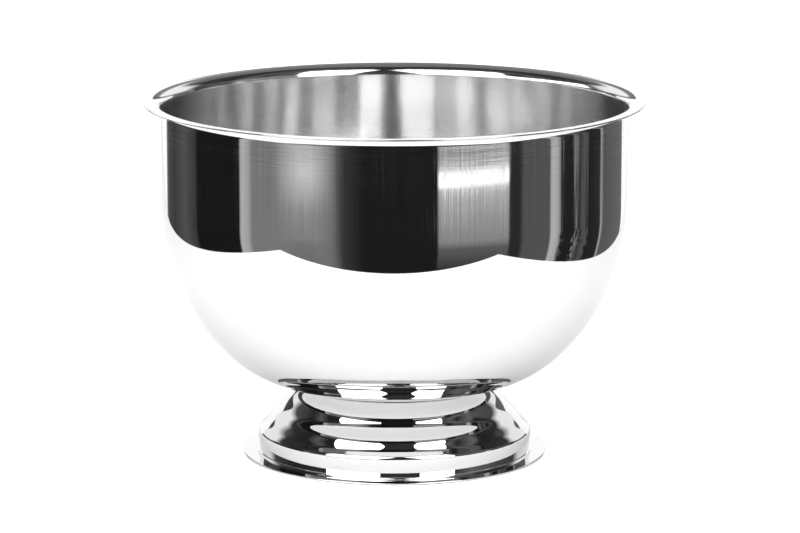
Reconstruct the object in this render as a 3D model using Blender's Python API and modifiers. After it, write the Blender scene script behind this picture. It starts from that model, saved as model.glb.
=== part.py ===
"""A champagne bowl on a pedestal foot, in polished stainless steel.

The bowl and the foot are two separate sheet metal spinnings. A reinforcing disc is brazed under
the middle of the bowl and carries a threaded stud. The stud passes through a hole in the closed
top of the foot, and a wide washer, a spring washer and a hexagon nut pull the two together from
inside the foot.

Units are metres, +Z is up, and the origin is on the table at the centre of the foot.
"""
import math

import bmesh
import bpy

# ---------------------------------------------------------------------------------------------
# Driving dimensions
# ---------------------------------------------------------------------------------------------

# The bowl: a straight wall, two belly curves that run into each other, and a flat bottom.
WALL_RADIUS = 0.1670            # outside of the straight wall
WALL_HEIGHT = 0.0679            # straight part of the wall
BELLY_UPPER_RADIUS = 0.1460     # slow curve under the straight wall
BELLY_UPPER_SWEEP = math.radians(47.0)
BELLY_LOWER_RADIUS = 0.0860     # quicker curve that reaches the flat bottom
BOWL_SHEET = 0.0010
BOWL_BASE_HEIGHT = 0.0513       # underside of the flat bottom, above the table

# The rim: the wall rolls outwards into a narrow flange, and the sheet ends in its cut edge.
RIM_ROLL_RADIUS = 0.0065        # outside of the bend, from the wall to the flange
FLANGE_WIDTH = 0.0130           # from the outside of the wall to the edge of the rim
FLANGE_DISH = math.radians(1.0)  # the flange tips up a little towards its edge

# The foot: a closed top, a hollow flare, a rounded shoulder and a flat flange on the table.
FOOT_SHEET = 0.0012
NECK_RADIUS = 0.0712            # where the flare meets the top of the foot
NECK_CORNER = 0.0025
SHOULDER_RADIUS = 0.0984        # widest part of the shoulder
SHOULDER_HEIGHT = 0.0165        # where flare and side would meet without the rounding
SHOULDER_CORNER = 0.0035
FLARE_RADIUS = 0.1510           # radius of the flare's hollow curve
SIDE_TAPER = 0.0011             # the side below the shoulder draws in by this much
TOE_CORNER = 0.0015
FOOT_FLANGE_WIDTH = 0.0119      # from the toe of the side to the edge of the foot

# The joint between bowl and foot.
DISC_RADIUS = 0.0300
DISC_THICKNESS = 0.0020
STUD_RADIUS = 0.0040
STUD_PROUD = 0.0040             # how far the stud shows below the nut
STUD_CHAMFER = 0.0008
WASHER_RADIUS = 0.0140
WASHER_THICKNESS = 0.0016
SPRING_WASHER_RADIUS = 0.0074
SPRING_WASHER_THICKNESS = 0.0020
SPRING_WASHER_SPLIT = 0.0012
NUT_ACROSS_FLATS = 0.0130
NUT_HEIGHT = 0.0065
NUT_CHAMFER = math.radians(30.0)
NUT_CLEAR_OF_CORNERS = 0.0005   # the chamfering cutter reaches this far past the nut's corners

# Clearances.
SEAT_GAP = 0.0003               # between two faces that rest on each other
STUD_CLEARANCE = 0.0004         # around the stud, in the foot, the washers and the nut
RECESS_CLEARANCE = 0.0015       # around the reinforcing disc
RECESS_CORNER = 0.0018

# Smoothness.
ROUND_STEPS = 64                # facets round the bowl and the foot
SMALL_STEPS = 32                # facets round the small pieces
CORNER_STEPS = 3                # facets along a rounded corner
MERGE_DISTANCE = 0.00005

# ---------------------------------------------------------------------------------------------
# Heights and radii that follow from them
# ---------------------------------------------------------------------------------------------

RIM_RADIUS = WALL_RADIUS + FLANGE_WIDTH
BELLY_DEPTH = (BELLY_UPPER_RADIUS * math.sin(BELLY_UPPER_SWEEP)
               + BELLY_LOWER_RADIUS * (1.0 - math.sin(BELLY_UPPER_SWEEP)))
BELLY_TOP = BOWL_BASE_HEIGHT + BELLY_DEPTH
WALL_TOP = BELLY_TOP + WALL_HEIGHT

DISC_TOP = BOWL_BASE_HEIGHT - SEAT_GAP
DISC_BOTTOM = DISC_TOP - DISC_THICKNESS
FOOT_TOP = BOWL_BASE_HEIGHT - SEAT_GAP
RECESS_FLOOR = DISC_BOTTOM - SEAT_GAP
RECESS_RADIUS = DISC_RADIUS + RECESS_CLEARANCE
TOE_RADIUS = SHOULDER_RADIUS - SIDE_TAPER
FOOT_RADIUS = TOE_RADIUS + FOOT_FLANGE_WIDTH
STUD_HOLE_RADIUS = STUD_RADIUS + STUD_CLEARANCE

WASHER_TOP = RECESS_FLOOR - FOOT_SHEET - SEAT_GAP
SPRING_WASHER_TOP = WASHER_TOP - WASHER_THICKNESS - SEAT_GAP
NUT_TOP = SPRING_WASHER_TOP - SPRING_WASHER_THICKNESS - SEAT_GAP
NUT_BOTTOM = NUT_TOP - NUT_HEIGHT
STUD_TOP = DISC_BOTTOM - SEAT_GAP
STUD_LENGTH = STUD_TOP - NUT_BOTTOM + STUD_PROUD


# ---------------------------------------------------------------------------------------------
# Outlines: lists of (radius, height) points
# ---------------------------------------------------------------------------------------------

def arc(centre, radius, start, end, steps):
    """Points on a circle round centre, from the angle start to the angle end."""
    points = []
    for step in range(steps + 1):
        angle = start + (end - start) * step / steps
        points.append((centre[0] + radius * math.cos(angle), centre[1] + radius * math.sin(angle)))
    return points


def arc_between(start, end, radius, steps):
    """Points on the arc from start to end that bulges towards the axis and downwards."""
    chord_r = end[0] - start[0]
    chord_z = end[1] - start[1]
    chord = math.hypot(chord_r, chord_z)
    reach = math.sqrt(radius ** 2 - (chord / 2) ** 2)
    centre = ((start[0] + end[0]) / 2 - chord_z / chord * reach,
              (start[1] + end[1]) / 2 + chord_r / chord * reach)
    first = math.atan2(start[1] - centre[1], start[0] - centre[0])
    last = math.atan2(end[1] - centre[1], end[0] - centre[0])
    if last < first:
        last += 2 * math.pi
    return arc(centre, radius, first, last, steps)


def rounded(corners, steps=CORNER_STEPS):
    """Turn (radius, height, corner radius) points into an outline with rounded corners."""
    outline = [corners[0][:2]]
    for before, corner, after in zip(corners, corners[1:], corners[2:]):
        if corner[2] == 0:
            outline.append(corner[:2])
            continue
        into = math.atan2(corner[1] - before[1], corner[0] - before[0])
        out = math.atan2(after[1] - corner[1], after[0] - corner[0])
        turn = math.remainder(out - into, 2 * math.pi)
        setback = corner[2] * math.tan(abs(turn) / 2)
        side = math.copysign(math.pi / 2, turn)
        start = (corner[0] - setback * math.cos(into), corner[1] - setback * math.sin(into))
        centre = (start[0] + corner[2] * math.cos(into + side),
                  start[1] + corner[2] * math.sin(into + side))
        outline += arc(centre, corner[2], into - side, into - side + turn, steps)
    outline.append(corners[-1][:2])
    return outline


def bowl_outline():
    """The outer face of the bowl, from the edge of the rim down to the middle of the bottom."""
    roll_centre = (WALL_RADIUS + RIM_ROLL_RADIUS, WALL_TOP)
    roll = arc(roll_centre, RIM_ROLL_RADIUS, math.pi / 2 + FLANGE_DISH, math.pi, 4)
    flange_rise = (RIM_RADIUS - roll[0][0]) * math.tan(FLANGE_DISH)
    rim_edge = (RIM_RADIUS, roll[0][1] + flange_rise)

    upper_centre = (WALL_RADIUS - BELLY_UPPER_RADIUS, BELLY_TOP)
    upper = arc(upper_centre, BELLY_UPPER_RADIUS, 0.0, -BELLY_UPPER_SWEEP, 8)
    radius_step = BELLY_UPPER_RADIUS - BELLY_LOWER_RADIUS
    lower_centre = (upper_centre[0] + radius_step * math.cos(BELLY_UPPER_SWEEP),
                    upper_centre[1] - radius_step * math.sin(BELLY_UPPER_SWEEP))
    lower = arc(lower_centre, BELLY_LOWER_RADIUS, -BELLY_UPPER_SWEEP, -math.pi / 2, 7)
    return [rim_edge] + roll + upper + lower[1:] + [(0.0, BOWL_BASE_HEIGHT)]


def foot_outline():
    """The outer face of the foot, from the stud hole out over the top and down to its edge."""
    flare = arc_between((NECK_RADIUS, FOOT_TOP), (SHOULDER_RADIUS, SHOULDER_HEIGHT), FLARE_RADIUS, 6)
    recess_run = FOOT_TOP - RECESS_FLOOR
    corners = [
        (STUD_HOLE_RADIUS, RECESS_FLOOR, 0),
        (RECESS_RADIUS, RECESS_FLOOR, RECESS_CORNER),
        (RECESS_RADIUS + recess_run, FOOT_TOP, RECESS_CORNER),
        (NECK_RADIUS, FOOT_TOP, NECK_CORNER),
    ]
    for radius, height in flare[1:-1]:
        corners.append((radius, height, 0))
    corners += [
        (SHOULDER_RADIUS, SHOULDER_HEIGHT, SHOULDER_CORNER),
        (TOE_RADIUS, FOOT_SHEET, TOE_CORNER),
        (FOOT_RADIUS, FOOT_SHEET, 0),
    ]
    return rounded(corners)


# ---------------------------------------------------------------------------------------------
# Making objects
# ---------------------------------------------------------------------------------------------

def clear_scene():
    for item in list(bpy.data.objects):
        bpy.data.objects.remove(item, do_unlink=True)


def new_collection(name):
    collection = bpy.data.collections.new(name)
    bpy.context.scene.collection.children.link(collection)
    return collection


def steel(name, colour, roughness):
    material = bpy.data.materials.new(name)
    material.use_nodes = True
    shader = material.node_tree.nodes["Principled BSDF"]
    shader.inputs["Base Color"].default_value = (*colour, 1.0)
    shader.inputs["Metallic"].default_value = 1.0
    shader.inputs["Roughness"].default_value = roughness
    return material


def add_object(name, mesh, collection, height=0.0, material=None):
    item = bpy.data.objects.new(name, mesh)
    item.location = (0.0, 0.0, height)
    collection.objects.link(item)
    if material is not None:
        mesh.materials.append(material)
    return item


def turned(name, outline, collection, height=0.0, material=None, steps=SMALL_STEPS):
    """Turn an outline round the Z axis. It runs so that its left side is the outside."""
    shape = bmesh.new()
    points = [shape.verts.new((radius, 0.0, z)) for radius, z in outline]
    for start, end in zip(points, points[1:]):
        shape.edges.new((start, end))
    mesh = bpy.data.meshes.new(name)
    shape.to_mesh(mesh)
    shape.free()
    item = add_object(name, mesh, collection, height, material)
    screw = item.modifiers.new("turn", "SCREW")
    screw.axis = "Z"
    screw.angle = 2 * math.pi
    screw.steps = steps
    screw.render_steps = steps
    screw.use_merge_vertices = True
    screw.merge_threshold = MERGE_DISTANCE
    screw.use_smooth_shade = True
    return item


def give_thickness(item, sheet):
    """Let the turned surface grow inwards, away from its outer face."""
    wall = item.modifiers.new("sheet", "SOLIDIFY")
    wall.thickness = sheet
    wall.offset = -1.0
    wall.use_even_offset = True


def cut(item, tool, operation="DIFFERENCE"):
    tool.hide_render = True
    tool.display_type = "WIRE"
    step = item.modifiers.new(tool.name, "BOOLEAN")
    step.operation = operation
    step.solver = "EXACT"
    step.object = tool


def washer(name, outer_radius, thickness, top, collection, material):
    """A flat ring that clears the stud, with its upper face at the height top."""
    ring = [(STUD_HOLE_RADIUS, 0.0), (outer_radius, 0.0)]
    item = turned(name, ring, collection, top, material)
    give_thickness(item, thickness)
    return item


# ---------------------------------------------------------------------------------------------
# The pieces
# ---------------------------------------------------------------------------------------------

def make_bowl_shell(parts):
    material = steel("polished_bowl_steel", (0.80, 0.80, 0.81), 0.10)
    item = turned("bowl_shell", bowl_outline(), parts, 0.0, material, ROUND_STEPS)
    give_thickness(item, BOWL_SHEET)
    return item


def make_pedestal_foot(parts):
    material = steel("mirror_foot_steel", (0.82, 0.82, 0.83), 0.05)
    item = turned("pedestal_foot", foot_outline(), parts, 0.0, material, ROUND_STEPS)
    give_thickness(item, FOOT_SHEET)
    return item


def make_reinforcing_disc(parts):
    material = steel("plain_disc_steel", (0.62, 0.62, 0.63), 0.35)
    outline = [(0.0, 0.0), (DISC_RADIUS, 0.0), (DISC_RADIUS, -DISC_THICKNESS), (0.0, -DISC_THICKNESS)]
    return turned("reinforcing_disc", outline, parts, DISC_TOP, material, ROUND_STEPS)


def make_threaded_stud(parts):
    material = steel("stud_steel", (0.60, 0.60, 0.60), 0.30)
    outline = [
        (0.0, 0.0),
        (STUD_RADIUS, 0.0),
        (STUD_RADIUS, -STUD_LENGTH + STUD_CHAMFER),
        (STUD_RADIUS - STUD_CHAMFER, -STUD_LENGTH),
        (0.0, -STUD_LENGTH),
    ]
    return turned("threaded_stud", outline, parts, STUD_TOP, material)


def make_load_washer(parts):
    material = steel("load_washer_steel", (0.66, 0.66, 0.67), 0.28)
    return washer("load_washer", WASHER_RADIUS, WASHER_THICKNESS, WASHER_TOP, parts, material)


def make_spring_washer(parts, cutters):
    material = steel("spring_washer_steel", (0.55, 0.55, 0.56), 0.32)
    item = washer("spring_washer", SPRING_WASHER_RADIUS, SPRING_WASHER_THICKNESS,
                  SPRING_WASHER_TOP, parts, material)
    shape = bmesh.new()
    bmesh.ops.create_cube(shape, size=1.0)
    ring_width = SPRING_WASHER_RADIUS - STUD_HOLE_RADIUS
    scale = (ring_width * 2, SPRING_WASHER_SPLIT, SPRING_WASHER_THICKNESS * 3)
    bmesh.ops.scale(shape, vec=scale, verts=shape.verts)
    bmesh.ops.translate(shape, vec=(STUD_HOLE_RADIUS + ring_width / 2, 0.0, 0.0), verts=shape.verts)
    mesh = bpy.data.meshes.new("spring_washer_split")
    shape.to_mesh(mesh)
    shape.free()
    tool_height = SPRING_WASHER_TOP - SPRING_WASHER_THICKNESS / 2
    cut(item, add_object("spring_washer_split", mesh, cutters, tool_height))
    return item


def make_hex_nut(parts, cutters):
    """A hexagon between two turned chamfers, with a plain hole for the stud."""
    material = steel("nut_steel", (0.64, 0.64, 0.65), 0.25)
    corner_radius = NUT_ACROSS_FLATS / math.sqrt(3)
    shape = bmesh.new()
    bmesh.ops.create_cone(shape, cap_ends=True, segments=6, radius1=corner_radius,
                          radius2=corner_radius, depth=NUT_HEIGHT)
    mesh = bpy.data.meshes.new("hex_nut")
    shape.to_mesh(mesh)
    shape.free()
    middle = NUT_TOP - NUT_HEIGHT / 2
    item = add_object("hex_nut", mesh, parts, middle, material)

    face_radius = NUT_ACROSS_FLATS / 2
    outside = corner_radius + NUT_CLEAR_OF_CORNERS
    fall = (outside - face_radius) * math.tan(NUT_CHAMFER)
    half = NUT_HEIGHT / 2
    chamfers = [(0.0, half), (face_radius, half), (outside, half - fall), (outside, fall - half),
                (face_radius, -half), (0.0, -half)]
    cut(item, turned("nut_chamfers", chamfers, cutters, middle), "INTERSECT")
    bore = [(0.0, NUT_HEIGHT), (STUD_HOLE_RADIUS, NUT_HEIGHT), (STUD_HOLE_RADIUS, -NUT_HEIGHT),
            (0.0, -NUT_HEIGHT)]
    cut(item, turned("nut_bore", bore, cutters, middle))
    return item


def main():
    clear_scene()
    parts = new_collection("champagne_bowl")
    cutters = new_collection("cutters")
    centre = bpy.data.objects.new("bowl_centre", None)
    parts.objects.link(centre)
    pieces = [
        make_bowl_shell(parts),
        make_reinforcing_disc(parts),
        make_threaded_stud(parts),
        make_pedestal_foot(parts),
        make_load_washer(parts),
        make_spring_washer(parts, cutters),
        make_hex_nut(parts, cutters),
    ]
    for piece in pieces:
        piece.parent = centre


main()
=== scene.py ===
# %% [markdown]
# # A footed champagne bowl in polished steel
# The real bowl is two sheet metal spinnings and a handful of fasteners. One spinning is the big
# bowl, which rolls out into a narrow flange at the rim. The other is the foot: a closed top, a
# hollow flare, a rounded shoulder and a flat flange on the table. A disc brazed under the bowl
# carries a stud, and a washer, a spring washer and a nut inside the foot hold the two together.
#
# A CAD frame of the same seven pieces is loaded first. It says where every piece goes. Each
# frame piece is then replaced by a finer one: denser, with rounded cut edges, a real thread and
# a finish of its own. Lengths are in metres, +Z is up and the foot stands on Z = 0.

# %% Load the frame
import math

import bmesh
import bpy
from mathutils import Matrix, Vector
from mathutils.geometry import intersect_line_sphere_2d


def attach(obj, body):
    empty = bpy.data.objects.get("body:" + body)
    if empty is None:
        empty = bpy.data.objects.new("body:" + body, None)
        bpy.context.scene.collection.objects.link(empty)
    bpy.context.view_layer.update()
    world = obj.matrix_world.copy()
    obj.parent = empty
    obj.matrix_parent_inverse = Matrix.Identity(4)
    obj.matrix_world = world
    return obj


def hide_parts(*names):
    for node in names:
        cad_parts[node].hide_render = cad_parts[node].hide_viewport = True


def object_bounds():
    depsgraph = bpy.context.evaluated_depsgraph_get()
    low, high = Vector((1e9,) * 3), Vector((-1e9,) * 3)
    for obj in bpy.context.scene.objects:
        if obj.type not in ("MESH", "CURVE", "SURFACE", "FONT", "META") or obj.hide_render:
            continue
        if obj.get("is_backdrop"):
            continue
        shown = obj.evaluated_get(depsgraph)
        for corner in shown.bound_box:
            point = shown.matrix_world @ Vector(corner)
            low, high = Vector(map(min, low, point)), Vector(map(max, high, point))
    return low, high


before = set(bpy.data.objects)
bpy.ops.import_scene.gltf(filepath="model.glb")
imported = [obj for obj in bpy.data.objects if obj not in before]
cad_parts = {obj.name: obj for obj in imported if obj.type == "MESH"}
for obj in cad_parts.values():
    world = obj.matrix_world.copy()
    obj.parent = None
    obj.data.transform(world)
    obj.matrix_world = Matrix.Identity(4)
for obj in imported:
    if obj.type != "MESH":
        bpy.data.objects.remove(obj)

frame_low, frame_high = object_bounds()
scene = bpy.context.scene
frame_size = [round(1000 * (high - low), 1) for low, high in zip(frame_low, frame_high)]
print("frame pieces:", sorted(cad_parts))
print("frame size in mm:", frame_size)

# %% [markdown]
# ## The sizes of the two spinnings
# A spinner works to a drawing of half the cross section, so the sizes are radii and heights on
# that drawing. The wall is straight. Below it two curves run into each other, a slow one and
# then a quicker one, and the quicker one ends in the flat bottom.

# %% Sizes of the bowl
WALL_RADIUS = 0.1670
WALL_HEIGHT = 0.0679
BELLY_UPPER_RADIUS = 0.1460
BELLY_UPPER_SWEEP = 47.0
BELLY_LOWER_RADIUS = 0.0860
BOWL_BASE_HEIGHT = 0.0513
BOWL_SHEET = 0.0010
RIM_ROLL_RADIUS = 0.0065
RIM_RADIUS = 0.1800
FLANGE_DISH = 1.0

sweep = math.radians(BELLY_UPPER_SWEEP)
belly_depth = (BELLY_UPPER_RADIUS * math.sin(sweep)
               + BELLY_LOWER_RADIUS * (1.0 - math.sin(sweep)))
belly_top = BOWL_BASE_HEIGHT + belly_depth
wall_top = belly_top + WALL_HEIGHT
print("straight wall from %.1f to %.1f mm" % (1000 * belly_top, 1000 * wall_top))

# %% [markdown]
# The foot's drawing has sharp corners, each with a small radius that rounds it later. The recess
# in its top makes room for the disc under the bowl, and the stud comes down through its hole.

# %% Sizes of the foot
FOOT_SHEET = 0.0012
FOOT_TOP = 0.0510
NECK_RADIUS = 0.0712
NECK_CORNER = 0.0025
SHOULDER_RADIUS = 0.0984
SHOULDER_HEIGHT = 0.0165
SHOULDER_CORNER = 0.0035
FLARE_RADIUS = 0.1510
TOE_RADIUS = 0.0973
TOE_CORNER = 0.0015
FOOT_RADIUS = 0.1092
RECESS_RADIUS = 0.0315
RECESS_MIDDLE = 0.0220
RECESS_FLOOR = 0.0487
RECESS_CORNER = 0.0018
STUD_HOLE_RADIUS = 0.0044
print("foot %.1f mm across, %.1f mm high" % (2000 * FOOT_RADIUS, 1000 * FOOT_TOP))

# %% [markdown]
# ## A pen for half outlines
# Both spinnings start as a half outline in the X-Z plane, and so do the disc and the washers.
# The outline could be typed in as a list of points, but then nobody could see the arcs in it.
# Here a pen draws it instead. `draw_line` extrudes the last point, and `draw_arc` spins the
# last point round a centre, so an arc is exactly the arc on the drawing.

# %% The pen
def start_outline(radius, height):
    outline = bmesh.new()
    outline.verts.new((radius, 0.0, height))
    return outline


def pen_tip(outline):
    outline.verts.ensure_lookup_table()
    return outline.verts[-1]


def draw_line(outline, radius, height, rings=1):
    step = (Vector((radius, 0.0, height)) - pen_tip(outline).co) / rings
    for _ in range(rings):
        made = bmesh.ops.extrude_vert_indiv(outline, verts=[pen_tip(outline)])
        bmesh.ops.translate(outline, verts=made["verts"], vec=step)


def draw_arc(outline, centre, turn, rings):
    bmesh.ops.spin(outline, geom=[pen_tip(outline)], cent=(centre[0], 0.0, centre[1]),
                   axis=(0.0, -1.0, 0.0), angle=math.radians(turn), steps=rings)


# %% [markdown]
# Some rounds are given by the corner they soften. `draw_corner` runs the pen towards the corner,
# stops where the round begins, and turns through the angle between the two straights.

# %% A rounded corner for the pen
def draw_corner(outline, corner, onward, radius, rings, run=1):
    tip = pen_tip(outline).co
    into = (Vector(corner) - Vector((tip.x, tip.z))).normalized()
    out = (Vector(onward) - Vector(corner)).normalized()
    turn = -into.angle_signed(out)
    setback = radius * math.tan(abs(turn) / 2)
    start = Vector(corner) - into * setback
    side = Vector((-into.y, into.x)) * math.copysign(radius, turn)
    draw_line(outline, start.x, start.y, run)
    draw_arc(outline, start + side, math.degrees(turn), rings)


# %% [markdown]
# ## From outline to spinning
# A full spin of the outline gives the outer face. `use_merge` joins its last copy to its first,
# and merging by distance closes the pole on the axis. The face normals are recalculated before
# the sheet gets its thickness, because on a closed shell that step would turn the inner wall
# round.

# %% Turning an outline
MERGE_DISTANCE = 0.00001


def turn_outline(outline, steps):
    bmesh.ops.spin(outline, geom=outline.verts[:] + outline.edges[:], cent=(0.0, 0.0, 0.0),
                   axis=(0.0, 0.0, 1.0), angle=2 * math.pi, steps=steps, use_merge=True)
    bmesh.ops.remove_doubles(outline, verts=outline.verts, dist=MERGE_DISTANCE)
    bmesh.ops.recalc_face_normals(outline, faces=outline.faces)
    for face in outline.faces:
        face.smooth = True


def face_outwards(shape, is_outer):
    """Turn an open shell round if the face that is_outer picks looks towards the axis."""
    face = max(shape.faces, key=is_outer)
    middle = face.calc_center_median()
    if face.normal.dot(Vector((middle.x, middle.y, 0.0))) < 0:
        bmesh.ops.reverse_faces(shape, faces=shape.faces)


def finish_piece(name, shape, node):
    """Make the object, let it stand for its frame piece, and let it ride with the frame."""
    mesh = bpy.data.meshes.new(name)
    shape.to_mesh(mesh)
    shape.free()
    piece = bpy.data.objects.new(name, mesh)
    scene.collection.objects.link(piece)
    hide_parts(node)
    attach(piece, "root")
    print("%s: %d faces before thickness and rounding" % (name, len(mesh.polygons)))
    return piece


# %% [markdown]
# The spun face has no thickness yet. Drawing the inner face too would work, but the two could
# drift apart when a size changes, so a Solidify modifier grows the sheet inwards instead. A cut
# edge is always dressed a little, and a Bevel does that. Weighted normals keep its flat
# neighbours flat, which matters in a mirror.

# %% Sheet thickness and rounded cut edges
def give_sheet(piece, thickness, edge_round):
    sheet = piece.modifiers.new("sheet", "SOLIDIFY")
    sheet.thickness = thickness
    sheet.offset = -1.0
    sheet.use_even_offset = True
    sheet.material_offset = 1
    sheet.material_offset_rim = 0
    soften_edges(piece, edge_round)


def soften_edges(piece, width, segments=3):
    edge = piece.modifiers.new("cut_edge", "BEVEL")
    edge.width = width
    edge.segments = segments
    edge.limit_method = "ANGLE"
    edge.angle_limit = math.radians(40)
    flat = piece.modifiers.new("flat_faces", "WEIGHTED_NORMAL")
    flat.weight = 80
    flat.keep_sharp = True


# %% [markdown]
# ## The bowl
# The pen starts in the middle of the bottom and ends at the cut edge of the rim. Each arc
# starts where the last line ran out in the same direction, so the mirror has no kinks. Short
# rings near the roll keep the reflections straight on the wall next to it.

# %% Draw and turn the bowl
ROUND_STEPS = 256
BOWL_EDGE_ROUND = 0.0003
ON_THE_WALL = 0.19

upper_centre = Vector((WALL_RADIUS - BELLY_UPPER_RADIUS, belly_top))
radius_step = BELLY_UPPER_RADIUS - BELLY_LOWER_RADIUS
lower_centre = upper_centre + radius_step * Vector((math.cos(sweep), -math.sin(sweep)))
roll_centre = Vector((WALL_RADIUS + RIM_ROLL_RADIUS, wall_top))

bowl_outline = start_outline(0.0, BOWL_BASE_HEIGHT)
draw_line(bowl_outline, lower_centre.x, BOWL_BASE_HEIGHT, 8)
draw_arc(bowl_outline, lower_centre, 90.0 - BELLY_UPPER_SWEEP, 20)
draw_arc(bowl_outline, upper_centre, BELLY_UPPER_SWEEP, 26)
draw_line(bowl_outline, WALL_RADIUS, wall_top, 24)
draw_arc(bowl_outline, roll_centre, FLANGE_DISH - 90.0, 18)
roll_end = pen_tip(bowl_outline).co.copy()
rim_height = roll_end.z + (RIM_RADIUS - roll_end.x) * math.tan(math.radians(FLANGE_DISH))
draw_line(bowl_outline, RIM_RADIUS, rim_height, 8)
print("bottom flat %.1f mm across, rim edge at %.1f mm"
      % (2000 * lower_centre.x, 1000 * rim_height))

turn_outline(bowl_outline, ROUND_STEPS)
face_outwards(bowl_outline,
              lambda face: face.calc_area() * (face.calc_center_median().z > ON_THE_WALL))
bowl = finish_piece("bowl", bowl_outline, "bowl_shell")
give_sheet(bowl, BOWL_SHEET, BOWL_EDGE_ROUND)

# %% [markdown]
# ## The foot
# The flare is one hollow arc from the neck to the shoulder, with its centre outside the foot.
# The rounds at its two ends touch the arc, not a straight line. So their centres are found as on
# a drawing board: on a line one round away from the straight side, and on a circle one round
# larger than the arc.

# %% Where the rounds of the foot sit
neck = Vector((NECK_RADIUS, FOOT_TOP))
shoulder = Vector((SHOULDER_RADIUS, SHOULDER_HEIGHT))
toe = Vector((TOE_RADIUS, FOOT_SHEET))

chord = shoulder - neck
reach = math.sqrt(FLARE_RADIUS ** 2 - (chord.length / 2) ** 2)
flare_centre = (neck + shoulder) / 2 + Vector((-chord.y, chord.x)).normalized() * reach


def round_centre(line_start, line_end, radius):
    """The centre of a round that touches the flare and the line, on the axis side of it."""
    along = (line_end - line_start).normalized()
    inwards = Vector((along.y, -along.x)) * radius
    hits = intersect_line_sphere_2d(line_start + inwards - along, line_end + inwards + along,
                                    flare_centre, FLARE_RADIUS + radius, False)
    return min(hits, key=lambda hit: (hit - shoulder).length + (hit - neck).length)


def direction(centre, point):
    """The angle of a point round a centre, in degrees."""
    away = point - centre
    return math.degrees(math.atan2(away.y, away.x))


neck_centre = round_centre(Vector((0.0, FOOT_TOP)), neck, NECK_CORNER)
shoulder_centre = round_centre(shoulder, toe, SHOULDER_CORNER)
print("flare centre %.1f, %.1f mm" % (1000 * flare_centre.x, 1000 * flare_centre.y))
print("round centres, neck %.1f, %.1f and shoulder %.1f, %.1f mm"
      % tuple(1000 * value for value in (*neck_centre, *shoulder_centre)))

# %% [markdown]
# The flare isn't quite one arc. Steel springs back a little behind the spinner's roller, and the
# last two passes left two shallow waves, under a millimetre high. They are hard to feel, but in
# a mirror they cut the table's reflection into bands. A displacement texture could make them. It
# would lift the whole skin along its normals and needs a far denser mesh, so the waves go into
# the outline instead, where they cost nothing.

# %% Two shallow waves
WAVE_HEIGHT = 0.00066
WAVE_COUNT = 2
WAVE_SHARE = 0.92


def press_waves(outline, first):
    """Lift the flare's points towards its centre, from the neck down to WAVE_SHARE of the way."""
    outline.verts.ensure_lookup_table()
    points = outline.verts[first:]
    for number, point in enumerate(points):
        share = number / (len(points) - 1) / WAVE_SHARE
        if share < 1.0:
            lift = WAVE_HEIGHT / 2 * (1.0 - math.cos(2 * math.pi * WAVE_COUNT * share))
            towards = Vector((flare_centre.x, 0.0, flare_centre.y)) - point.co
            point.co += towards.normalized() * lift
    print("%d points of the flare lifted by up to %.2f mm" % (len(points), 1000 * WAVE_HEIGHT))


# %% [markdown]
# The pen starts at the stud hole, crosses the recess and the top, turns into the flare, and goes
# over the shoulder and down to the flange. The flare gets many short rings, because a mirror
# shows every facet of a curve.

# %% Draw and turn the foot
FLARE_RINGS = 72
FOOT_EDGE_ROUND = 0.00035

flare_start = direction(flare_centre, neck_centre) % 360
flare_end = direction(flare_centre, shoulder_centre) % 360
side = direction(toe, shoulder)

foot_outline = start_outline(STUD_HOLE_RADIUS, RECESS_FLOOR)
recess_top = (RECESS_RADIUS + FOOT_TOP - RECESS_FLOOR, FOOT_TOP)
draw_line(foot_outline, RECESS_MIDDLE, RECESS_FLOOR, 3)
draw_corner(foot_outline, (RECESS_RADIUS, RECESS_FLOOR), recess_top, RECESS_CORNER, 6, 3)
draw_corner(foot_outline, recess_top, (NECK_RADIUS, FOOT_TOP), RECESS_CORNER, 6)
draw_line(foot_outline, neck_centre.x, FOOT_TOP, 10)
draw_arc(foot_outline, neck_centre, flare_start - 180 - 90, 12)
first_of_flare = len(foot_outline.verts) - 1
draw_arc(foot_outline, flare_centre, flare_end - flare_start, FLARE_RINGS)
press_waves(foot_outline, first_of_flare)
draw_arc(foot_outline, shoulder_centre, (side - 90) - (flare_end - 180), 16)
draw_corner(foot_outline, toe, (FOOT_RADIUS, FOOT_SHEET), TOE_CORNER, 10, 6)
draw_line(foot_outline, FOOT_RADIUS, FOOT_SHEET, 8)

turn_outline(foot_outline, ROUND_STEPS)
face_outwards(foot_outline, lambda face: abs(face.normal.x) + abs(face.normal.y))
foot = finish_piece("pedestal_foot_spinning", foot_outline, "pedestal_foot")
give_sheet(foot, FOOT_SHEET, FOOT_EDGE_ROUND)

# %% [markdown]
# ## Disc and load washer
# The disc under the bowl spreads the pull of the stud over the thin sheet. The load washer does
# the same for the foot. Both are blanked from sheet, so they are plain rings with slightly
# rounded edges. Their outlines go all the way round the section and close on themselves.

# %% Turn the disc and the washer
RING_STEPS = 96
DISC_RADIUS = 0.0300
DISC_LOW, DISC_HIGH = 0.0490, 0.0510
WASHER_RADIUS = 0.0140
WASHER_LOW, WASHER_HIGH = 0.0456, 0.0472


def turn_ring(inner, outer, low, high):
    outline = start_outline(inner, low)
    draw_line(outline, outer, low, 3)
    draw_line(outline, outer, high)
    draw_line(outline, inner, high, 3)
    if inner > 0.0:
        draw_line(outline, inner, low)
    turn_outline(outline, RING_STEPS)
    return outline


disc_ring = turn_ring(0.0, DISC_RADIUS, DISC_LOW, DISC_HIGH)
disc = finish_piece("bearing_disc", disc_ring, "reinforcing_disc")
soften_edges(disc, 0.0003)
washer_ring = turn_ring(STUD_HOLE_RADIUS, WASHER_RADIUS, WASHER_LOW, WASHER_HIGH)
load_washer = finish_piece("wide_washer", washer_ring, "load_washer")
soften_edges(load_washer, 0.0002)

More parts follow.
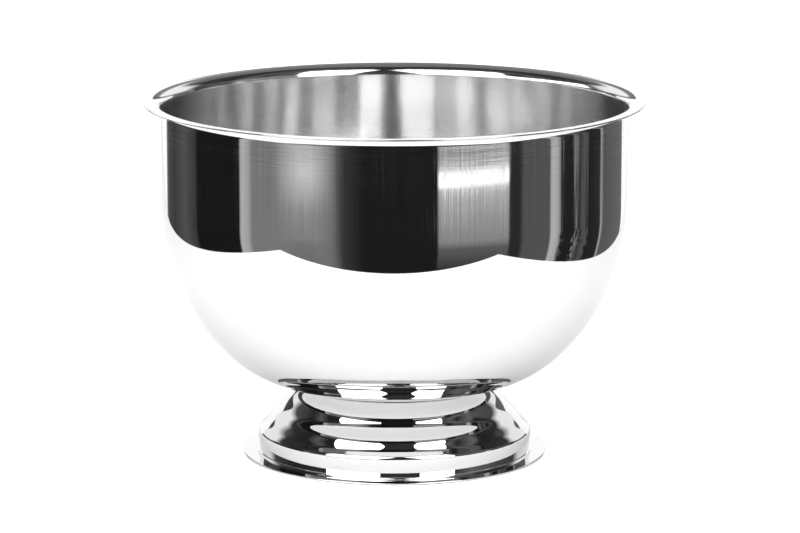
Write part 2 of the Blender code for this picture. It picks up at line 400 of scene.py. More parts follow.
# %% [markdown]
# ## Spring washer
# A spring washer is square wire wound once round a mandrel and sawn through at a slant. A ring
# stays a ring when it is twisted a few degrees from bottom to top, and only its saw cut leans
# over. So the section is spun nearly all the way round, and then twisted.

# %% Wind the spring washer
SPRING_LOW, SPRING_HIGH = 0.0433, 0.0453
SPRING_OUTER = 0.0074
SPRING_STEPS = 72
SAW_WIDTH = 0.0013
SAW_SLANT = 12.0

saw_turn = math.degrees(SAW_WIDTH / SPRING_OUTER)
section = start_outline(STUD_HOLE_RADIUS, SPRING_LOW)
draw_line(section, SPRING_OUTER, SPRING_LOW)
draw_line(section, SPRING_OUTER, SPRING_HIGH)
draw_line(section, STUD_HOLE_RADIUS, SPRING_HIGH)
bmesh.ops.contextual_create(section, geom=section.verts[:])
bmesh.ops.rotate(section, verts=section.verts, cent=(0.0, 0.0, 0.0),
                 matrix=Matrix.Rotation(math.radians(saw_turn / 2), 3, "Z"))
bmesh.ops.spin(section, geom=section.verts[:] + section.edges[:] + section.faces[:],
               cent=(0.0, 0.0, 0.0), axis=(0.0, 0.0, 1.0),
               angle=math.radians(360.0 - saw_turn), steps=SPRING_STEPS)
bmesh.ops.recalc_face_normals(section, faces=section.faces)
for corner in section.verts:
    twist = math.radians(SAW_SLANT) * ((corner.co.z - SPRING_LOW) / (SPRING_HIGH - SPRING_LOW) - 0.5)
    corner.co.rotate(Matrix.Rotation(twist, 3, "Z"))
for face in section.faces:
    face.smooth = True
spring_washer = finish_piece("split_washer", section, "spring_washer")
soften_edges(spring_washer, 0.00025)

# %% [markdown]
# ## The stud and its thread
# A thread is a groove that climbs one pitch a turn. `spin` can climb too: with `dvec` each step
# also moves along the axis. The outline is a row of teeth, and after a full turn of one pitch
# every tooth lands on its neighbour, so the two ends merge. The shares of the pitch below are
# those of a metric thread: a quarter for the root, an eighth for the crest, the rest for the two
# flanks.

# %% Roll the thread
STUD_RADIUS = 0.0040
STUD_LOW, STUD_HIGH = 0.0325, 0.0487
PITCH = 0.00125
THREAD_DEPTH = 0.0007
THREAD_STEPS = 64
ROOT_SHARE = 0.25
CREST_SHARE = 0.125
FLANK_SHARE = (1.0 - ROOT_SHARE - CREST_SHARE) / 2

root = STUD_RADIUS - THREAD_DEPTH
teeth = math.ceil((STUD_HIGH - STUD_LOW) / PITCH) + 3
height = STUD_LOW - 2 * PITCH
thread = start_outline(root, height)
for _ in range(teeth):
    draw_line(thread, root, height + PITCH * ROOT_SHARE)
    draw_line(thread, STUD_RADIUS, height + PITCH * (ROOT_SHARE + FLANK_SHARE))
    draw_line(thread, STUD_RADIUS, height + PITCH * (ROOT_SHARE + FLANK_SHARE + CREST_SHARE))
    draw_line(thread, root, height + PITCH)
    height += PITCH
bmesh.ops.spin(thread, geom=thread.verts[:] + thread.edges[:], cent=(0.0, 0.0, 0.0),
               axis=(0.0, 0.0, 1.0), dvec=(0.0, 0.0, PITCH / THREAD_STEPS),
               angle=2 * math.pi, steps=THREAD_STEPS)
bmesh.ops.remove_doubles(thread, verts=thread.verts, dist=MERGE_DISTANCE)
print("thread drawn with %d teeth of %.2f mm pitch" % (teeth, 1000 * PITCH))

# %% [markdown]
# The row of teeth is longer than the stud and open at both ends. A boolean with a cylinder could
# trim it, but a plane is enough: `bisect_plane` cuts and clears one side, and `holes_fill` closes
# the cut. The lowest turn is then drawn in to a cone, so that the nut starts easily.

# %% Cut the stud to length
LEAD_IN = 0.0008
ON_THE_CUT = 0.000005


def saw(shape, place, outwards):
    """Cut flat at place, throw away what lies outwards, and close the cut with one face."""
    bmesh.ops.bisect_plane(shape, geom=shape.verts[:] + shape.edges[:] + shape.faces[:],
                           dist=0.000001, plane_co=place, plane_no=outwards, clear_outer=True)
    rim = [edge for edge in shape.edges if edge.is_boundary
           and all(abs((corner.co - Vector(place)).dot(Vector(outwards))) < ON_THE_CUT
                   for corner in edge.verts)]
    bmesh.ops.holes_fill(shape, edges=rim, sides=0)


def mark_corners(shape, angle=30.0):
    """Shade everything smooth except across edges sharper than angle."""
    for face in shape.faces:
        face.smooth = True
    for edge in shape.edges:
        edge.smooth = edge.calc_face_angle(0.0) < math.radians(angle)


saw(thread, (0.0, 0.0, STUD_LOW), (0.0, 0.0, -1.0))
saw(thread, (0.0, 0.0, STUD_HIGH), (0.0, 0.0, 1.0))
for corner in thread.verts:
    limit = STUD_RADIUS - LEAD_IN + (corner.co.z - STUD_LOW)
    reach_out = math.hypot(corner.co.x, corner.co.y)
    if reach_out > limit:
        corner.co.x *= limit / reach_out
        corner.co.y *= limit / reach_out
bmesh.ops.recalc_face_normals(thread, faces=thread.faces)
mark_corners(thread)
open_edges = sum(1 for edge in thread.edges if not edge.is_manifold)
print("thread: %d turns, %d open edges" % (round((STUD_HIGH - STUD_LOW) / PITCH), open_edges))
stud = finish_piece("threaded_rod_end", thread, "threaded_stud")

# %% [markdown]
# ## The nut
# A nut starts as a turned blank with a cone at both ends, and six cuts give it its flats. Made
# in that order the curved edge between cone and flat comes by itself, as it does in steel. A
# hexagonal prism with a bevel would get straight edges there, which no real nut has.

# %% Turn the blank and cut the flats
ACROSS_FLATS = 0.0130
NUT_LOW, NUT_HIGH = 0.0365, 0.0430
NUT_STEPS = 120
NUT_CHAMFER = 30.0
FACE_INSET = 0.0001
COUNTERSINK = 0.0005

corner_radius = ACROSS_FLATS / math.sqrt(3)
face_radius = ACROSS_FLATS / 2 - FACE_INSET
fall = (corner_radius - face_radius) * math.tan(math.radians(NUT_CHAMFER))
blank = start_outline(STUD_HOLE_RADIUS, NUT_LOW + COUNTERSINK)
draw_line(blank, STUD_HOLE_RADIUS + COUNTERSINK, NUT_LOW)
draw_line(blank, face_radius, NUT_LOW)
draw_line(blank, corner_radius, NUT_LOW + fall)
draw_line(blank, corner_radius, NUT_HIGH - fall)
draw_line(blank, face_radius, NUT_HIGH)
draw_line(blank, STUD_HOLE_RADIUS + COUNTERSINK, NUT_HIGH)
draw_line(blank, STUD_HOLE_RADIUS, NUT_HIGH - COUNTERSINK)
draw_line(blank, STUD_HOLE_RADIUS, NUT_LOW + COUNTERSINK, 6)
turn_outline(blank, NUT_STEPS)
for flat in range(6):
    turn = math.radians(60.0 * flat)
    across = Vector((math.cos(turn), math.sin(turn), 0.0))
    saw(blank, across * (ACROSS_FLATS / 2), across)
bmesh.ops.recalc_face_normals(blank, faces=blank.faces)
mark_corners(blank, 20.0)
print("nut: %d open edges" % sum(1 for edge in blank.edges if not edge.is_manifold))
nut = finish_piece("fixing_nut", blank, "hex_nut")
soften_edges(nut, 0.00015, 2)

# %% [markdown]
# ## Finishes that follow the lathe
# Every mark on a spinning runs round it, because the sheet turned while the tool and the
# polishing mop stood still. A texture in plain X, Y and Z would look like dirt. So the patterns
# use lathe coordinates: a unit vector that points away from the axis, and the distance
# travelled along the outline, which radius plus height stands in for.
#
# A material is a tree of nodes. These helpers add a node, feed its sockets and hand back what it
# gives, so that a finish below reads as a few lines of arithmetic.

# %% Small node helpers
def put(tree, kind, **settings):
    node = tree.nodes.new(kind)
    for setting, value in settings.items():
        setattr(node, setting, value)
    return node


def feed(tree, socket, value):
    if isinstance(value, bpy.types.NodeSocket):
        tree.links.new(value, socket)
    else:
        socket.default_value = value


def maths(tree, operation, *values):
    node = put(tree, "ShaderNodeMath", operation=operation)
    for socket, value in zip(node.inputs, values):
        feed(tree, socket, value)
    return node.outputs[0]


def vectors(tree, operation, *values):
    node = put(tree, "ShaderNodeVectorMath", operation=operation)
    for socket, value in zip(node.inputs, values):
        feed(tree, socket, value)
    return node.outputs["Value" if operation == "LENGTH" else "Vector"]


def spread(tree, value, low, high, to_low, to_high):
    """A Map Range node that stays between its two ends."""
    node = put(tree, "ShaderNodeMapRange")
    for socket, number in zip(node.inputs, (value, low, high, to_low, to_high)):
        feed(tree, socket, number)
    return node.outputs[0]


# %% [markdown]
# Noise on these coordinates is stretched into rings or ribs by its two numbers: grains per metre
# across the marks, and grains along them. Object coordinates keep it in place on the metal.

# %% Lathe coordinates
def lathe_coordinates(tree):
    place = put(tree, "ShaderNodeTexCoord").outputs["Object"]
    level = vectors(tree, "MULTIPLY", place, (1.0, 1.0, 0.0))
    away = vectors(tree, "NORMALIZE", level)
    radius = vectors(tree, "LENGTH", level)
    parts = put(tree, "ShaderNodeSeparateXYZ")
    feed(tree, parts.inputs[0], place)
    height = parts.outputs["Z"]
    travel = maths(tree, "ADD", radius, height)
    return away, radius, height, travel


def lathe_noise(tree, away, travel, across, along, detail):
    """Noise with `across` grains per metre over the outline and `along` round the piece."""
    lift = put(tree, "ShaderNodeCombineXYZ")
    feed(tree, lift.inputs["Z"], maths(tree, "MULTIPLY", travel, across))
    turn = vectors(tree, "MULTIPLY", away, (along, along, 0.0))
    noise = put(tree, "ShaderNodeTexNoise")
    feed(tree, noise.inputs["Vector"], vectors(tree, "ADD", turn, lift.outputs[0]))
    noise.inputs["Scale"].default_value = 1.0
    noise.inputs["Detail"].default_value = detail
    return noise.outputs["Fac"]


def dent(tree, height, distance, below=None):
    """A Bump node: height times distance is the depth of the marks, in metres."""
    bump = put(tree, "ShaderNodeBump")
    bump.inputs["Strength"].default_value = 1.0
    bump.inputs["Distance"].default_value = distance
    feed(tree, bump.inputs["Height"], height)
    if below is not None:
        feed(tree, bump.inputs["Normal"], below)
    return bump.outputs[0]


# %% [markdown]
# All the finishes are bare steel, so they share one start: the Principled shader with Metallic
# at 1, which takes its colour from its reflections alone. Turning marks scatter light across
# themselves and not along. Anisotropy does the same, once its tangent runs round the lathe.

# %% A metal shader to build on
def start_steel(name, colour):
    material = bpy.data.materials.new(name)
    material.use_nodes = True
    shader = material.node_tree.nodes["Principled BSDF"]
    shader.inputs["Metallic"].default_value = 1.0
    shader.inputs["Base Color"].default_value = (*colour, 1.0)
    return material, material.node_tree, shader


def brush_round(tree, shader, away, amount):
    """Stretch the highlights across the turning marks, as brushed metal does."""
    shader.inputs["Anisotropic"].default_value = amount
    shader.inputs["Anisotropic Rotation"].default_value = 0.25
    tangent = vectors(tree, "CROSS_PRODUCT", (0.0, 0.0, 1.0), away)
    feed(tree, shader.inputs["Tangent"], tangent)


# %% [markdown]
# ## Finish of the bowl
# The outside is polished, but the straight wall keeps the marks of the last strokes: fine ribs
# drawn up and down, and turned rings that fade below the rim. They are too fine to be modelled,
# so they vary the roughness, the shade and the bump by tiny amounts. The belly is a clean mirror,
# and the mask called `wall` keeps the marks off it.

# %% Polished outside of the bowl
def make_bowl_outside():
    material, tree, shader = start_steel("polished_bowl_steel", (0.69, 0.69, 0.695))
    away, _, height, travel = lathe_coordinates(tree)
    brush_round(tree, shader, away, 0.6)
    wall = spread(tree, height, belly_top - 0.016, belly_top + 0.016, 0.0, 1.0)
    turned = lathe_noise(tree, away, travel, 1500.0, 5.0, 3.0)
    drawn = lathe_noise(tree, away, travel, 9.0, 330.0, 3.0)
    cloud = lathe_noise(tree, away, travel, 34.0, 5.0, 3.0)
    near_rim = spread(tree, height, wall_top - 0.030, wall_top - 0.006, 0.15, 1.0)
    turned_marks = maths(tree, "MULTIPLY", spread(tree, turned, 0.45, 0.75, 0.0, 0.12), near_rim)
    marks = maths(tree, "ADD", turned_marks, spread(tree, drawn, 0.45, 0.75, 0.0, 0.16))
    marks = maths(tree, "MULTIPLY", marks, spread(tree, cloud, 0.35, 0.65, 0.3, 1.0))
    marks = maths(tree, "MULTIPLY", marks, wall)
    feed(tree, shader.inputs["Roughness"], maths(tree, "ADD", marks, 0.020))
    turned_shade = maths(tree, "MULTIPLY", spread(tree, turned, 0.3, 0.7, -0.10, 0.10), near_rim)
    grain = maths(tree, "ADD", turned_shade, spread(tree, drawn, 0.3, 0.7, -0.07, 0.07))
    shade = maths(tree, "ADD", maths(tree, "MULTIPLY", grain, wall), 0.69)
    feed(tree, shader.inputs["Base Color"], shade)
    shallow = maths(tree, "MULTIPLY", maths(tree, "MULTIPLY", turned, near_rim), wall)
    ribbed = maths(tree, "MULTIPLY", drawn, wall)
    ribs = dent(tree, ribbed, 0.000001)
    feed(tree, shader.inputs["Normal"], dent(tree, shallow, 0.0000007, ribs))
    return material


# %% [markdown]
# The inside was only rubbed with fine wool while it turned. Its highlights smear along the wall,
# up and down, and that is what anisotropy is for: plain roughness would blur them in all
# directions. Past the wall, on the roll and the flange, the polish is bright again.

# %% Satin inside of the bowl
def make_bowl_inside():
    material, tree, shader = start_steel("satin_inside_steel", (0.75, 0.75, 0.75))
    away, radius, _, travel = lathe_coordinates(tree)
    brush_round(tree, shader, away, 0.9)
    satin = spread(tree, radius, WALL_RADIUS + 0.0003, WALL_RADIUS + 0.0035, 1.0, 0.0)
    haze = lathe_noise(tree, away, travel, 900.0, 2.0, 2.0)
    satin_rough = spread(tree, haze, 0.3, 0.7, 0.08, 0.12)
    rough = maths(tree, "ADD", maths(tree, "MULTIPLY", satin_rough, satin), 0.025)
    feed(tree, shader.inputs["Roughness"], rough)
    rings = lathe_noise(tree, away, travel, 1400.0, 3.0, 2.0)
    shallow = maths(tree, "MULTIPLY", rings, satin)
    feed(tree, shader.inputs["Normal"], dent(tree, shallow, 0.0000004))
    return material


# %% [markdown]
# ## Finish of the foot
# The foot is the brightest piece, a true mirror outside, with only a breath of haze from the mop.
# Nobody polished it inside, where the marks of the spinning tool are deep enough to see.

# %% Mirror polish of the foot
def make_foot_outside():
    material, tree, shader = start_steel("mirror_foot_steel", (0.69, 0.69, 0.695))
    away, _, _, travel = lathe_coordinates(tree)
    haze = lathe_noise(tree, away, travel, 300.0, 6.0, 3.0)
    feed(tree, shader.inputs["Roughness"], spread(tree, haze, 0.3, 0.7, 0.015, 0.04))
    rings = lathe_noise(tree, away, travel, 700.0, 8.0, 2.0)
    feed(tree, shader.inputs["Normal"], dent(tree, rings, 0.0000006))
    return material


def make_foot_inside():
    material, tree, shader = start_steel("unpolished_foot_steel", (0.60, 0.60, 0.605))
    away, _, _, travel = lathe_coordinates(tree)
    brush_round(tree, shader, away, 0.4)
    haze = lathe_noise(tree, away, travel, 350.0, 5.0, 4.0)
    feed(tree, shader.inputs["Roughness"], spread(tree, haze, 0.3, 0.7, 0.28, 0.40))
    rings = lathe_noise(tree, away, travel, 900.0, 3.0, 2.0)
    feed(tree, shader.inputs["Normal"], dent(tree, rings, 0.00001))
    return material


# %% [markdown]
# The small steel parts were never polished. The disc keeps its concentric turning marks. The
# fasteners were tumbled in a barrel, which leaves fine dents, worn bright corners and a dull
# bloom, so their pattern is plain noise in X, Y and Z.

# %% Turned disc and tumbled fasteners
def make_turned_disc():
    material, tree, shader = start_steel("turned_disc_steel", (0.56, 0.56, 0.565))
    away, _, _, travel = lathe_coordinates(tree)
    brush_round(tree, shader, away, 0.5)
    grooves = lathe_noise(tree, away, travel, 2600.0, 2.0, 3.0)
    feed(tree, shader.inputs["Roughness"], spread(tree, grooves, 0.3, 0.7, 0.24, 0.38))
    feed(tree, shader.inputs["Normal"], dent(tree, grooves, 0.00002))
    return material


def make_tumbled(name, colour, dull, bright, grain):
    material, tree, shader = start_steel(name, colour)
    place = put(tree, "ShaderNodeTexCoord").outputs["Object"]
    dents = put(tree, "ShaderNodeTexNoise")
    feed(tree, dents.inputs["Vector"], place)
    dents.inputs["Scale"].default_value = grain
    dents.inputs["Detail"].default_value = 4.0
    bloom = put(tree, "ShaderNodeTexNoise")
    feed(tree, bloom.inputs["Vector"], place)
    bloom.inputs["Scale"].default_value = grain / 9
    worn = spread(tree, bloom.outputs["Fac"], 0.35, 0.65, bright, dull)
    rubbed = spread(tree, dents.outputs["Fac"], 0.3, 0.7, -0.04, 0.04)
    feed(tree, shader.inputs["Roughness"], maths(tree, "ADD", worn, rubbed))
    tint = put(tree, "ShaderNodeMix", data_type="RGBA")
    feed(tree, tint.inputs[0], spread(tree, bloom.outputs["Fac"], 0.3, 0.7, 0.0, 1.0))
    tint.inputs[6].default_value = (*colour, 1.0)
    tint.inputs[7].default_value = (*[0.82 * part for part in colour], 1.0)
    feed(tree, shader.inputs["Base Color"], tint.outputs[2])
    feed(tree, shader.inputs["Normal"], dent(tree, dents.outputs["Fac"], 0.00004))
    return material


# %% [markdown]
# Each piece takes its finishes in the order of its material slots. The two spinnings have two:
# the Solidify modifier gives the inner face the second slot, and the cut edge the first.

# %% Put the finishes on
def dress(piece, *materials):
    for material in materials:
        piece.data.materials.append(material)
    print("%s: %s" % (piece.name, ", ".join(material.name for material in materials)))


dress(disc, make_turned_disc())
dress(load_washer, make_tumbled("tumbled_washer_steel", (0.60, 0.60, 0.60), 0.38, 0.22, 2200.0))
dress(spring_washer, make_tumbled("spring_steel", (0.46, 0.46, 0.47), 0.42, 0.28, 2600.0))
dress(stud, make_tumbled("rolled_thread_steel", (0.62, 0.62, 0.62), 0.30, 0.18, 3000.0))
dress(nut, make_tumbled("tumbled_nut_steel", (0.60, 0.60, 0.60), 0.34, 0.18, 2400.0))
dress(bowl, make_bowl_outside(), make_bowl_inside())
dress(foot, make_foot_outside(), make_foot_inside())

# %% [markdown]
# ## Table, floor and studio
# A mirror shows its room, so the room decides how the bowl looks. The bowl stands on a white
# table that ends half a metre in front of it. Past the table's edge the room is dark with a few
# soft panels, and behind the bowl there is a white sheet. The camera sees only white.
#
# The table is made twice. The camera's copy is a large floor that the steel doesn't see. The
# steel's copy has the size of the table, and only reflections and shadows know it.

# %% Table and floor
def make_white(name, brightness):
    material = bpy.data.materials.new(name)
    material.use_nodes = True
    shader = material.node_tree.nodes["Principled BSDF"]
    shader.inputs["Base Color"].default_value = (brightness, brightness, brightness, 1.0)
    shader.inputs["Roughness"].default_value = 0.8
    shader.inputs["Specular IOR Level"].default_value = 0.0
    return material


def put_on_stage(name, shape, material):
    mesh = bpy.data.meshes.new(name)
    shape.to_mesh(mesh)
    shape.free()
    mesh.materials.append(material)
    item = bpy.data.objects.new(name, mesh)
    scene.collection.objects.link(item)
    item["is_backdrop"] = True
    return item


def lay_sheet(name, low, high, height, material):
    shape = bmesh.new()
    bmesh.ops.create_grid(shape, x_segments=1, y_segments=1, size=0.5)
    bmesh.ops.scale(shape, vec=(high[0] - low[0], high[1] - low[1], 1.0), verts=shape.verts)
    middle = ((high[0] + low[0]) / 2, (high[1] + low[1]) / 2, height)
    bmesh.ops.translate(shape, vec=middle, verts=shape.verts)
    return put_on_stage(name, shape, material)


floor_white = make_white("floor_white", 0.9)
floor = lay_sheet("pale_floor", (-30.0, -30.0), (30.0, 30.0), -0.0004, floor_white)
floor.visible_glossy = False
floor.visible_diffuse = False
floor.visible_shadow = False

TABLE_LOW = (-0.64, -0.50)
TABLE_HIGH = (0.53, 3.0)
table = lay_sheet("table", TABLE_LOW, TABLE_HIGH, -0.0008, make_white("table_white", 0.56))
table.visible_camera = False
print("the table ends %.2f m in front of the bowl" % -TABLE_LOW[1])

# %% [markdown]
# The white sheet hangs behind the table and ends three quarters of a metre above it. The sides
# of both flanges look at it and stay white. The rim's flange looks just over it at the back and
# turns grey, which is the only reason that its edge can be seen there at all.

# %% The white sheet
SHEET_TOP = 0.758
SHEET_LOW = -0.9
SHEET_HALF_WIDTH = 1.9
SHEET_DISTANCE = 3.0
SHEET_GLOW = 1.25


def only_for_mirrors(item):
    item.visible_camera = False
    item.visible_diffuse = False
    item.visible_shadow = False


def hang_sheet():
    material = bpy.data.materials.new("sheet_glow")
    material.use_nodes = True
    tree = material.node_tree
    tree.nodes.clear()
    glow = put(tree, "ShaderNodeEmission")
    glow.inputs["Color"].default_value = (SHEET_GLOW, SHEET_GLOW, SHEET_GLOW, 1.0)
    output = put(tree, "ShaderNodeOutputMaterial")
    tree.links.new(glow.outputs[0], output.inputs[0])
    outline = start_outline(-SHEET_HALF_WIDTH, SHEET_LOW)
    draw_line(outline, SHEET_HALF_WIDTH, SHEET_LOW)
    made = bmesh.ops.extrude_edge_only(outline, edges=outline.edges)
    raised = [item for item in made["geom"] if isinstance(item, bmesh.types.BMVert)]
    bmesh.ops.translate(outline, vec=(0.0, 0.0, SHEET_TOP - SHEET_LOW), verts=raised)
    bmesh.ops.translate(outline, vec=(0.0, SHEET_DISTANCE, 0.0), verts=outline.verts)
    only_for_mirrors(put_on_stage("white_sheet", outline, material))


hang_sheet()
print("the sheet's top is %.1f m back and %.3f m up" % (SHEET_DISTANCE, SHEET_TOP))

# %% [markdown]
# ## The room
# The rest of the room could be modelled, wall by wall. It is so far away that only its direction
# counts, so it is painted on the world instead, as three rings one above the other: below twelve
# degrees, up to thirty, and above. Each ring is a colour ramp round the horizon, in degrees from
# the camera and positive to its right. The narrow bright marks are the edges of screens and
# stands, and one stretch on the right is a curtain, whose folds come from noise on the angle.

# %% The room that the steel sees
ROOM_LOW = [
    (-148, 0.22), (-147.5, 0.09), (-137, 0.06), (-125, 0.11), (-114, 0.05), (-113, 0.012),
    (-81.5, 0.012), (-81, 0.62), (-75, 0.46), (-74, 0.25), (-38, 0.28), (-30, 0.20), (-25, 0.05),
    (-15, 0.015), (21, 0.015), (55, 0.16), (58, 0.03), (64.5, 0.03), (65, 0.11), (82.5, 0.12),
    (83, 0.62), (88, 0.50), (89, 0.02), (99, 0.02), (100, 0.34), (102, 0.02), (108, 0.14),
    (110, 0.02), (121, 0.03), (122, 0.60), (124, 0.12), (148, 0.17),
]
ROOM_MIDDLE = [
    (-172, 0.27), (-168, 1.1), (-134, 1.1), (-124, 0.10), (-100, 0.03), (-60, 0.05),
    (52, 0.05), (70, 0.20), (105, 0.10), (124, 0.08), (134, 1.1), (168, 1.1), (172, 0.27),
]
ROOM_HIGH = [
    (-180, 0.20), (-148, 0.20), (-140, 0.05), (-100, 0.02), (-90, 0.12), (-80, 0.02),
    (55, 0.02), (66, 0.14), (76, 0.03), (92, 0.16), (100, 0.02), (140, 0.05), (148, 0.20),
]


def room_ring(tree, position, stops):
    """Brightness round the room, from (degrees from the camera, brightness) stops."""
    ramp = put(tree, "ShaderNodeValToRGB")
    marks = ramp.color_ramp.elements
    while len(marks) < len(stops):
        marks.new(0.5)
    for mark, (degrees, brightness) in zip(marks, stops):
        mark.position = degrees / 360 + 0.5
        mark.color = (brightness, brightness, brightness, 1.0)
    feed(tree, ramp.inputs[0], position)
    return ramp.outputs["Color"]


def blend_light(tree, factor, first, second):
    mix = put(tree, "ShaderNodeMix", data_type="RGBA")
    feed(tree, mix.inputs[0], factor)
    feed(tree, mix.inputs[6], first)
    feed(tree, mix.inputs[7], second)
    return mix.outputs[2]


def make_room():
    world = bpy.data.worlds.new("studio_room")
    scene.world = world
    world.use_nodes = True
    tree = world.node_tree
    tree.nodes.clear()
    ray = put(tree, "ShaderNodeTexCoord").outputs["Generated"]
    parts = put(tree, "ShaderNodeSeparateXYZ")
    feed(tree, parts.inputs[0], ray)
    forwards = maths(tree, "MULTIPLY", parts.outputs["Y"], -1.0)
    angle = maths(tree, "ARCTAN2", parts.outputs["X"], forwards)
    folds = put(tree, "ShaderNodeTexNoise")
    feed(tree, folds.inputs["Vector"], vectors(tree, "MULTIPLY", ray, (9.0, 9.0, 5.0)))
    hanging = maths(tree, "MULTIPLY", spread(tree, angle, 1.52, 1.60, 0.0, 1.0),
                    spread(tree, angle, 2.05, 2.12, 1.0, 0.0))
    sway = maths(tree, "MULTIPLY", maths(tree, "SUBTRACT", folds.outputs["Fac"], 0.5), 0.22)
    angle = maths(tree, "ADD", angle, maths(tree, "MULTIPLY", sway, hanging))
    position = spread(tree, angle, -math.pi, math.pi, 0.0, 1.0)
    over_sheet = spread(tree, parts.outputs["Z"], 0.205, 0.215, 0.0, 1.0)
    over_panels = spread(tree, parts.outputs["Z"], 0.45, 0.52, 0.0, 1.0)
    walls = blend_light(tree, over_sheet, room_ring(tree, position, ROOM_LOW),
                        room_ring(tree, position, ROOM_MIDDLE))
    walls = blend_light(tree, over_panels, walls, room_ring(tree, position, ROOM_HIGH))
    glossy = put(tree, "ShaderNodeLightPath").outputs["Is Glossy Ray"]
    seen = blend_light(tree, glossy, (1.35, 1.35, 1.35, 1.0), walls)
    light = put(tree, "ShaderNodeBackground")
    feed(tree, light.inputs["Color"], seen)
    output = put(tree, "ShaderNodeOutputWorld")
    tree.links.new(light.outputs[0], output.inputs[0])


make_room()
print("room rings with", [len(ring) for ring in (ROOM_LOW, ROOM_MIDDLE, ROOM_HIGH)], "marks")

# %% [markdown]
# Two large soft boxes stand beside the camera and light everything. They are the two white
# panels that the foot and the inside of the bowl show. The third is a fill from above that
# mirrors can't see.

# %% Soft boxes
def hang_soft_box(name, azimuth, elevation, distance, width, height, brightness):
    """A soft box that faces the bowl; its azimuth is 0 over the camera and grows to the right."""
    turn, lift = math.radians(azimuth), math.radians(elevation)
    level = math.cos(lift)
    away = Vector((math.sin(turn) * level, -math.cos(turn) * level, math.sin(lift)))
    lamp = bpy.data.lights.new(name, "AREA")
    lamp.shape = "RECTANGLE"
    lamp.size = width
    lamp.size_y = height
    lamp.energy = brightness * math.pi * width * height
    box = bpy.data.objects.new(name, lamp)
    box.location = away * distance + Vector((0.0, 0.0, 0.15))
    box.rotation_mode = "QUATERNION"
    box.rotation_quaternion = away.to_track_quat("Z", "Y")
    box.visible_camera = False
    scene.collection.objects.link(box)
    print("%s %.1f m away" % (name, distance))
    return box


hang_soft_box("left_soft_box", -36.0, 34.0, 2.0, 1.75, 1.9, 4.5)
hang_soft_box("right_soft_box", 37.0, 34.0, 2.0, 1.10, 1.9, 4.5)
fill = hang_soft_box("front_fill", 0.0, 62.0, 1.5, 1.0, 0.7, 8.0)
fill.visible_glossy = False

# %% [markdown]
# Cards stand round the bowl too, closer than the walls of the room. A low one past the front of
# the table on the right has one bright stripe, which the wall of the bowl shows as a bright band.
# A low one on the left is only a soft glow. Two more hang above the rim at the sides for the
# inside: the left one makes its broad light band, and the right one only lifts the shade. Each
# card is a strip bent round the bowl. It glows by its height, and its ends fade.

# %% Glowing cards
def card_glow(name, first, last, fade, heights):
    """A glow from (height, brightness) pairs that fades to nothing at both ends of the strip."""
    material = bpy.data.materials.new(name)
    material.use_nodes = True
    tree = material.node_tree
    tree.nodes.clear()
    parts = put(tree, "ShaderNodeSeparateXYZ")
    feed(tree, parts.inputs[0], put(tree, "ShaderNodeTexCoord").outputs["Object"])
    ramp = put(tree, "ShaderNodeValToRGB")
    marks = ramp.color_ramp.elements
    low, high = heights[0][0], heights[-1][0]
    while len(marks) < len(heights):
        marks.new(0.5)
    for mark, (height, brightness) in zip(marks, heights):
        mark.position = (height - low) / (high - low)
        mark.color = (brightness, brightness, brightness, 1.0)
    feed(tree, ramp.inputs[0], spread(tree, parts.outputs["Z"], low, high, 0.0, 1.0))
    forwards = maths(tree, "MULTIPLY", parts.outputs["Y"], -1.0)
    angle = maths(tree, "ARCTAN2", parts.outputs["X"], forwards)
    first, last, fade = (math.radians(value) for value in (first, last, fade))
    shown = maths(tree, "MULTIPLY", spread(tree, angle, first, first + fade, 0.0, 1.0),
                  spread(tree, angle, last - fade, last, 1.0, 0.0))
    glow = put(tree, "ShaderNodeEmission")
    feed(tree, glow.inputs["Color"], ramp.outputs["Color"])
    mix = put(tree, "ShaderNodeMixShader")
    feed(tree, mix.inputs[0], shown)
    tree.links.new(put(tree, "ShaderNodeBsdfTransparent").outputs[0], mix.inputs[1])
    tree.links.new(glow.outputs[0], mix.inputs[2])
    output = put(tree, "ShaderNodeOutputMaterial")
    tree.links.new(mix.outputs[0], output.inputs[0])
    return material


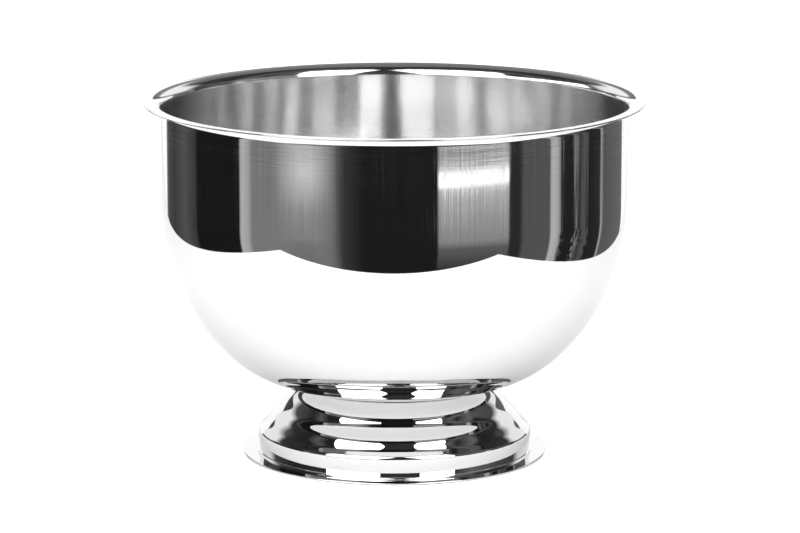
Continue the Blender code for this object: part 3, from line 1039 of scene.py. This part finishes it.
def hang_card(name, distance, first, last, fade, heights):
    """A strip round the bowl from azimuth first to last, seen by the steel and nothing else."""
    outline = start_outline(distance, heights[0][0])
    draw_line(outline, distance, heights[-1][0])
    bmesh.ops.rotate(outline, verts=outline.verts, cent=(0.0, 0.0, 0.0),
                     matrix=Matrix.Rotation(math.radians(first - 90.0), 3, "Z"))
    bmesh.ops.spin(outline, geom=outline.verts[:] + outline.edges[:], cent=(0.0, 0.0, 0.0),
                   axis=(0.0, 0.0, 1.0), angle=math.radians(last - first), steps=24)
    glow = card_glow(name + "_glow", first, last, fade, heights)
    only_for_mirrors(put_on_stage(name, outline, glow))
    print("%s from %.0f to %.0f degrees" % (name, first, last))


hang_card("striped_card", 1.0, 18.9, 53.5, 1.2,
          [(-0.20, 0.05), (-0.02, 0.14), (0.045, 0.42), (0.071, 0.58), (0.075, 2.1), (0.084, 2.1),
           (0.090, 0.50), (0.13, 0.22)])
hang_card("left_glow_card", 1.0, -56.0, -26.0, 12.0,
          [(-0.20, 0.20), (0.0, 0.24), (0.05, 0.36), (0.085, 0.85), (0.11, 0.60), (0.14, 0.34)])
hang_card("left_side_card", 0.30, -148.0, -70.0, 6.0,
          [(0.330, 2.5), (0.35, 5.5), (0.41, 5.5)])
hang_card("right_side_card", 0.30, 58.0, 119.0, 8.0,
          [(0.335, 0.2), (0.35, 0.4), (0.42, 0.4)])

# %% [markdown]
# ## The camera
# A long lens from three metres away, half a metre above the rim and looking eleven degrees
# down. A short lens from close by would show the same size, but would open the two ellipses of
# the rim and the foot by different amounts. The plain tone curve keeps white white.

# %% Camera and tones
CAMERA_PLACE = (0.00406, -3.050, 0.7328)
CAMERA_TILT = 11.092
CAMERA_LENS = 194.4


def make_camera():
    lens = bpy.data.cameras.new("studio_camera")
    lens.sensor_width = 36.0
    lens.lens = CAMERA_LENS
    lens.clip_start = 0.1
    lens.clip_end = 200.0
    camera = bpy.data.objects.new("studio_camera", lens)
    camera.location = CAMERA_PLACE
    camera.rotation_euler = (math.radians(90.0 - CAMERA_TILT), 0.0, 0.0)
    scene.collection.objects.link(camera)
    scene.camera = camera


make_camera()
scene.view_settings.view_transform = "Standard"
scene.cycles.glossy_bounces = 8
print("camera %.2f m away, %.1f degrees down" % (-CAMERA_PLACE[1], CAMERA_TILT))

# %% [markdown]
# ## Sizes and the end
# The finer pieces must not be bigger than the frame. Both boxes are measured and printed.

# %% Sizes and the end
new_low, new_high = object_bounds()
new_size = [round(1000 * (high - low), 2) for low, high in zip(new_low, new_high)]
print("visual size in mm:", new_size)
